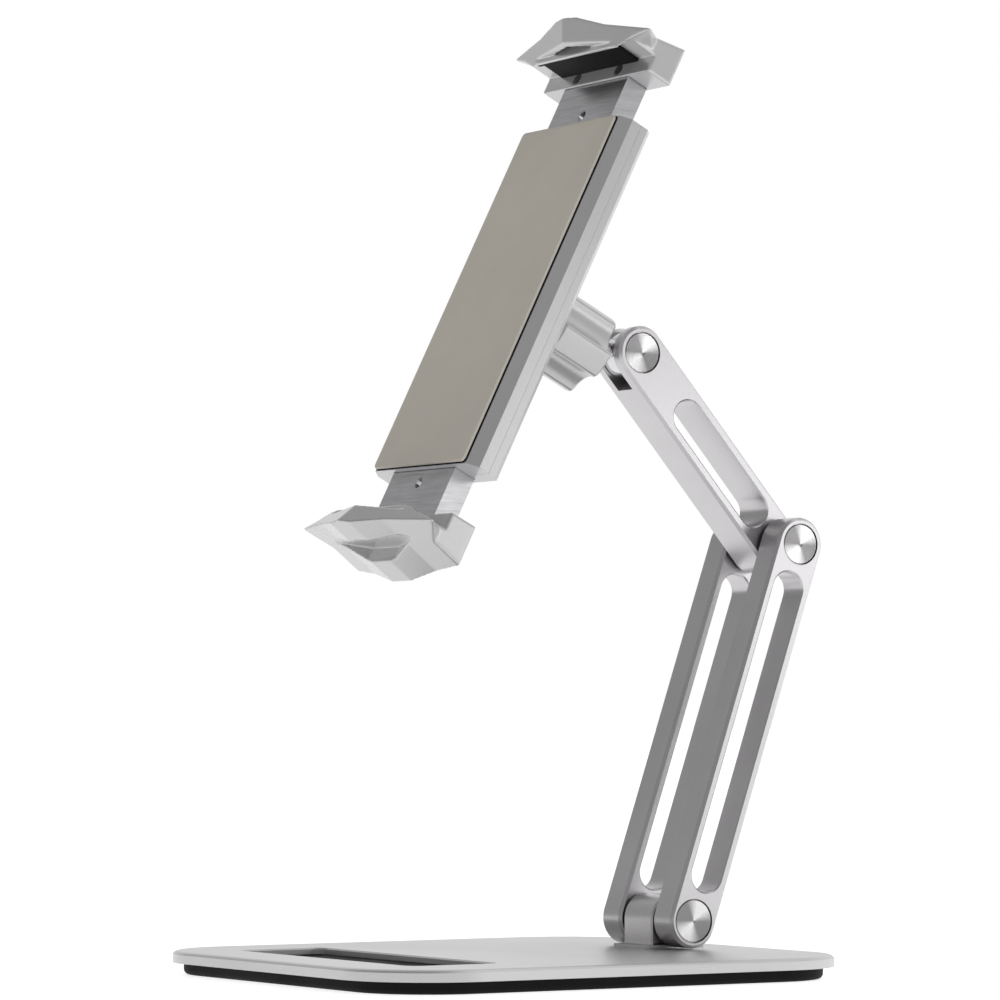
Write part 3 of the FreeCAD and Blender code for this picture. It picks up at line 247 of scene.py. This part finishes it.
MATERIALS = {
    "arm_metal": blasted_aluminium(
        "arm_metal_look", (0.56, 0.548, 0.56), (0.66, 0.648, 0.66), (0.26, 0.36)),
    "base_metal": brushed_plate(
        "base_metal_look", (0.60, 0.595, 0.60), (0.72, 0.715, 0.72)),
    "cap_metal": spun_metal_painted_fans("cap_metal_look"),
    "silver_plastic": satin_paint(
        "silver_plastic_look", (0.54, 0.535, 0.54), (0.62, 0.615, 0.62), (0.26, 0.36)),
    "black_plastic": soft_rubber(
        "black_plastic_look", (0.018, 0.018, 0.019), (0.03, 0.03, 0.032), (0.38, 0.5),
        grain=900.0, depth=BRUSHING),
    "black_rubber": soft_rubber(
        "black_rubber_look", (0.004, 0.004, 0.0045), (0.008, 0.008, 0.009)),
    "grey_rubber": soft_rubber(
        "grey_rubber_look", (0.60, 0.565, 0.50), (0.66, 0.62, 0.55)),
    "plain_steel": plain_metal(
        "plain_steel_look", (0.42, 0.42, 0.43), (0.62, 0.62, 0.64), (0.24, 0.36), ALONG_Z),
    "polished_steel": plain_metal(
        "polished_steel_look", (0.62, 0.62, 0.63), (0.72, 0.72, 0.73), (0.08, 0.16), NO_WAY),
    "brass_bush": plain_metal(
        "brass_bush_look", (0.50, 0.36, 0.14), (0.62, 0.46, 0.20), (0.22, 0.34), ALONG_X),
}

slots = {entry["node"]: entry["material_slot"] for entry in frame["record"]["subparts"]}
for name, item in nodes.items():
    look = MATERIALS[slots[name]]
    item.data.materials.clear()
    item.data.materials.append(look)


# ------------------------------------------------------------------ soft edges on the hard parts

SAME_POINT = 2e-6      # metres: points closer than this are one point
SKIN_DEPTH = 8         # halvings of the jaw's box that set how fine its skin is
SKIN_FIT = 0.95        # share of that box which the jaw fills
EASE_PASSES = 16       # times the skin is eased, which is what rounds the edges
CASE_EDGE = 0.0005     # metres: width of the broken edges on the two halves of the case
EDGE_STEPS = 3
FLAT_WITHIN = math.radians(1.0)
EDGE_FROM = math.radians(20.0)


def shell_over(name, body):
    """A copy of a CAD node's mesh as a piece of its own, which stands for that node."""
    mesh = nodes[name].data.copy()
    shell = bpy.data.objects.new(name + "_shell", mesh)
    bpy.context.scene.collection.objects.link(shell)
    weld = shell.modifiers.new("weld", "WELD")
    weld.merge_threshold = SAME_POINT
    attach(shell, body)
    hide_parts(name)
    return shell.modifiers


def moulded(name, body):
    """Rounded edges all over a moulded piece: a fine skin over it, then eased."""
    layers = shell_over(name, body)
    skin = layers.new("skin", "REMESH")
    skin.mode = "SHARP"
    skin.octree_depth = SKIN_DEPTH
    skin.scale = SKIN_FIT
    skin.sharpness = 1.0
    skin.use_remove_disconnected = False
    skin.use_smooth_shade = True
    ease = layers.new("ease", "SMOOTH")
    ease.factor = 0.5
    ease.iterations = EASE_PASSES


def broken_edges(name, body):
    """Small rounded edges where flat faces meet."""
    layers = shell_over(name, body)
    flats = layers.new("flats", "DECIMATE")
    flats.decimate_type = "DISSOLVE"
    flats.angle_limit = FLAT_WITHIN
    bevel = layers.new("bevel", "BEVEL")
    bevel.width = CASE_EDGE
    bevel.segments = EDGE_STEPS
    bevel.limit_method = "ANGLE"
    bevel.angle_limit = EDGE_FROM
    bevel.harden_normals = True


for name, body in (("top_jaw", "top_claw"), ("bottom_jaw", "bottom_claw")):
    moulded(name, body)
for name in ("housing_front", "housing_back"):
    broken_edges(name, "clamp")


# ------------------------------------------------------------------ soft pieces

# In millimetres. A size is half a width, half a length and a corner radius, and a list of
# points is one ring each: how far in from that outline, and how high.

MM = 0.001
SCREEN_TILT = math.radians(27.0)
CLAMP_AT = Vector((0, -2.919, 231.604)) * MM   # middle of the clamp's rubber face
IN_CLAMP = Matrix.Translation(CLAMP_AT) @ Matrix.Rotation(math.pi / 2 - SCREEN_TILT, 4, "X")
ON_BASE = Matrix()
HALF_TURN = Matrix.Rotation(math.pi, 4, "Z")
SHARP_FROM = math.radians(40)
LEAST_CORNER = 0.15    # a ring never gets a tighter corner than this


def mesh_piece(name, verts, faces, place, look):
    """A smooth-shaded mesh given in millimetres."""
    mesh = bpy.data.meshes.new(name)
    mesh.from_pydata([place @ (Vector(vert) * MM) for vert in verts], [], faces)
    mesh.update()
    grid = bmesh.new()
    grid.from_mesh(mesh)
    bmesh.ops.recalc_face_normals(grid, faces=grid.faces)
    grid.to_mesh(mesh)
    grid.free()
    for face in mesh.polygons:
        face.use_smooth = True
    mesh.set_sharp_from_angle(angle=SHARP_FROM)
    piece = bpy.data.objects.new(name, mesh)
    bpy.context.scene.collection.objects.link(piece)
    mesh.materials.append(MATERIALS[look])
    return piece


def rounded_ring(half_x, half_y, corner, height, steps=10):
    """Points of a rounded rectangle, always the same number of them."""
    points = []
    for number, (side, end) in enumerate(((1, 1), (-1, 1), (-1, -1), (1, -1))):
        for step in range(steps + 1):
            angle = math.pi / 2 * (number + step / steps)
            points.append((side * (half_x - corner) + corner * math.cos(angle),
                           end * (half_y - corner) + corner * math.sin(angle), height))
    return points


def bridged(rings):
    """Faces joining equal rings in order, with a cap on each end."""
    count = len(rings[0])
    faces = []
    for level in range(len(rings) - 1):
        for number in range(count):
            after = (number + 1) % count
            low, high = level * count, (level + 1) * count
            faces.append((low + number, low + after, high + after, high + number))
    faces.append(tuple(range(count)))
    faces.append(tuple((len(rings) - 1) * count + number for number in range(count)))
    return [point for ring in rings for point in ring], faces


def ringed(name, place, half_x, half_y, corner, path, look, middle=0.0):
    """A slab made of insets and heights: each step of the path is one ring."""
    rings = []
    for inset, height in path:
        tight = max(corner - inset, LEAST_CORNER)
        ring = rounded_ring(half_x - inset, half_y - inset, tight, height)
        rings.append([(across, along + middle, up) for across, along, up in ring])
    return mesh_piece(name, *bridged(rings), place, look)


def roll(start, radius, height, rise, steps=5):
    """Quarter-round steps from a side wall on to a flat."""
    path = []
    for step in range(steps + 1):
        angle = math.pi / 2 * step / steps
        path.append((start + radius * (1 - math.cos(angle)),
                     height + rise * (math.sin(angle) - 1)))
    return path


def stand_in(piece, body, node):
    """Fixes a soft piece to a body, in place of a CAD node."""
    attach(piece, body)
    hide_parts(node)


# rubber face of the clamp, its edge rolled over and the middle very slightly proud
FACE_SIZE = (29.0, 66.8, 1.6)
FACE_EDGE = [(0.25, -1.2), (0.0, -1.0)] + roll(0.0, 0.45, -0.05, 0.4)
FACE_EDGE += [(1.6, -0.02), (6.0, 0.0)]
face_pad = ringed("clamp_face_pad", IN_CLAMP, *FACE_SIZE, FACE_EDGE, "grey_rubber")
stand_in(face_pad, "clamp", "front_pad")

# foam tape behind it, pressed thin so its edge bulges between the two hard faces
FOAM_SIZE = (29.3, 67.1, 1.8)
FOAM_EDGE = [(0.3, -1.6), (0.1, -1.55), (0.0, -1.45), (0.0, -1.35), (0.1, -1.25), (0.3, -1.2)]
foam = ringed("clamp_pad_foam", IN_CLAMP, *FOAM_SIZE, FOAM_EDGE, "black_rubber")
stand_in(foam, "clamp", "pad_backing")

# mat in the pen tray, with a raised rim; it is near black, so it also paints in the shade that
# falls inside the tray's recess
TRAY_MIDDLE = -53.0
MAT_SIZE = (57.8, 16.3, 4.0)
MAT_RIM = [(0.1, 5.1), (0.0, 5.2)] + roll(0.0, 0.3, 5.9, 0.3)
MAT_RIM += [(1.4, 5.9), (1.8, 5.55), (2.4, 5.5)]
mat = ringed("tray_mat", ON_BASE, *MAT_SIZE, MAT_RIM, "black_rubber", middle=TRAY_MIDDLE)
stand_in(mat, "base", "tray_liner")

# silicone sole: two grip grooves underneath, a rolled foot, and the nest for the ballast on top
SOLE_SIZE = (81.7, 88.7, 28.2)
GROOVE_STARTS = (8.8, 5.0)
GROOVE = ((1.8, 0.0), (1.4, 0.5), (0.4, 0.5), (0.0, 0.0))
SOLE_GROOVES = [(start + across, up) for start in GROOVE_STARTS for across, up in GROOVE]
SOLE_FOOT = [(inset, -height) for inset, height in roll(0.0, 1.8, 0.0, 1.8)[::-1]]
SOLE_NEST = [(0.0, 3.9), (0.2, 4.1), (11.7, 4.1), (11.7, 1.7)]
SOLE_PATH = SOLE_GROOVES + SOLE_FOOT + SOLE_NEST
sole = ringed("base_sole", ON_BASE, *SOLE_SIZE, SOLE_PATH, "black_rubber")
stand_in(sole, "base", "base_pad")


# ribbed rubber strips: pairs of points on their back and front, each point a distance outward
# from the jaw's seat and a height above the clamp's face; the ends have less than full depth
JAW_SEAT = 89.25       # from the middle of the clamp
STRIP_BACK = 2.0
STRIP_FACE = 0.72
STRIP_LOW, STRIP_HIGH = -2.6, 7.0
STRIP_STEPS = 36
RIB_DEPTH = 0.22
STEPS_TO_A_RIB = 4
LIP_TOP = 8.3
STRIP_LIP = [((STRIP_BACK, LIP_TOP), (0.62, 7.1)), ((0.3, LIP_TOP), (0.3, 7.02)),
             ((0.0, LIP_TOP), (0.0, 7.02)), ((-0.2, LIP_TOP), (-0.2, 7.02)),
             ((-0.38, 8.25), (-0.38, 7.25))]
STRIP_ENDS = ((-24.0, 0.5), (-23.85, 0.8), (-23.4, 1.0), (23.4, 1.0), (23.85, 0.8), (24.0, 0.5))


def jaw_strip(name, place):
    """Ribbed rubber on the ceiling of a jaw and behind its lip."""
    pairs = []
    for step in range(STRIP_STEPS + 1):
        height = STRIP_LOW + (STRIP_HIGH - STRIP_LOW) * step / STRIP_STEPS
        rib = RIB_DEPTH * (0.5 + 0.5 * math.cos(math.pi * 2 * step / STEPS_TO_A_RIB))
        pairs.append(((STRIP_BACK, height), (STRIP_FACE + rib, height)))
    pairs += STRIP_LIP
    rings = []
    for across, fullness in STRIP_ENDS:
        back = [(across, JAW_SEAT + outer[0], outer[1]) for outer, inner in pairs]
        front = [(across, JAW_SEAT + outer[0] + (inner[0] - outer[0]) * fullness,
                  outer[1] + (inner[1] - outer[1]) * fullness) for outer, inner in pairs]
        rings.append(back + front[::-1])
    return mesh_piece(name, *bridged(rings), place, "black_rubber")


for side, place in (("top", IN_CLAMP), ("bottom", IN_CLAMP @ HALF_TURN)):
    grip = jaw_strip(side + "_jaw_grip", place)
    stand_in(grip, side + "_claw", side + "_jaw_rubber")


# ------------------------------------------------------------------ stage

BRIGHT_SIDE = Vector((-0.42, 0.80, -0.42))   # direction in which the studio is whitest
WHITE_LEVEL, SIDE_LEVEL = 1.0, 0.32          # strength there, and on the side away from it
FADE_FROM, FADE_TO = -0.30, 0.64             # dot products where the change starts and ends
FLOOR_SIZE = 60.0
FLOOR_GLOW = 0.74      # makes the floor as pale as the studio, so no horizon shows


def floor_plane(size):
    """Pale floor under the stand."""
    mesh = bpy.data.meshes.new("floor")
    half = size / 2
    corners = [(-half, -half, 0), (half, -half, 0), (half, half, 0), (-half, half, 0)]
    mesh.from_pydata(corners, [], [(0, 1, 2, 3)])
    plane = bpy.data.objects.new("floor", mesh)
    bpy.context.scene.collection.objects.link(plane)
    graph = Graph("floor_look")
    cloud = graph.noise(graph.place(), scale=2.0)
    pale = graph.ramp(cloud, (0.66, 0.66, 0.66), (0.68, 0.68, 0.68))
    look = graph.finish(pale, graph.span(cloud, low=0.55, high=0.62),
                        Emission_Color=(*WHITE, 1), Emission_Strength=FLOOR_GLOW)
    mesh.materials.append(look)


def studio_world(bright, dim):
    """White studio behind the stand, dimmer behind the camera, with a smooth change between."""
    world = bpy.data.worlds.new("studio")
    world.use_nodes = True
    tree = world.node_tree
    spot = tree.nodes.new("ShaderNodeTexCoord")
    facing = tree.nodes.new("ShaderNodeVectorMath")
    facing.operation = "DOT_PRODUCT"
    facing.inputs[1].default_value = BRIGHT_SIDE
    level = tree.nodes.new("ShaderNodeMapRange")
    level.interpolation_type = "SMOOTHSTEP"
    level.inputs["From Min"].default_value = FADE_FROM
    level.inputs["From Max"].default_value = FADE_TO
    level.inputs["To Min"].default_value = dim
    level.inputs["To Max"].default_value = bright
    tree.links.new(spot.outputs["Generated"], facing.inputs[0])
    tree.links.new(facing.outputs["Value"], level.inputs["Value"])
    tree.links.new(level.outputs["Result"], tree.nodes["Background"].inputs["Strength"])
    tree.nodes["Background"].inputs["Color"].default_value = (*WHITE, 1)
    bpy.context.scene.world = world


def area_light(name, spot, aim, size, power):
    """A rectangular light at a spot, in metres, turned towards its aim; power in watts."""
    data = bpy.data.lights.new(name, "AREA")
    data.shape = "RECTANGLE"
    data.size, data.size_y = size
    data.energy = power
    light = bpy.data.objects.new(name, data)
    bpy.context.scene.collection.objects.link(light)
    light.location = spot
    light.rotation_euler = (Vector(aim) - Vector(spot)).to_track_quat("-Z", "Y").to_euler()


floor_plane(FLOOR_SIZE)
studio_world(WHITE_LEVEL, SIDE_LEVEL)
bpy.context.scene.view_settings.view_transform = "Standard"
area_light("overhead", spot=(0.5, 0.7, 1.4), aim=(0, 0.08, 0), size=(0.9, 0.9), power=1.8)
area_light("right_back", spot=(0.85, 0.66, 0.21), aim=(0, 0.11, 0.15), size=(0.5, 0.16), power=0.44)
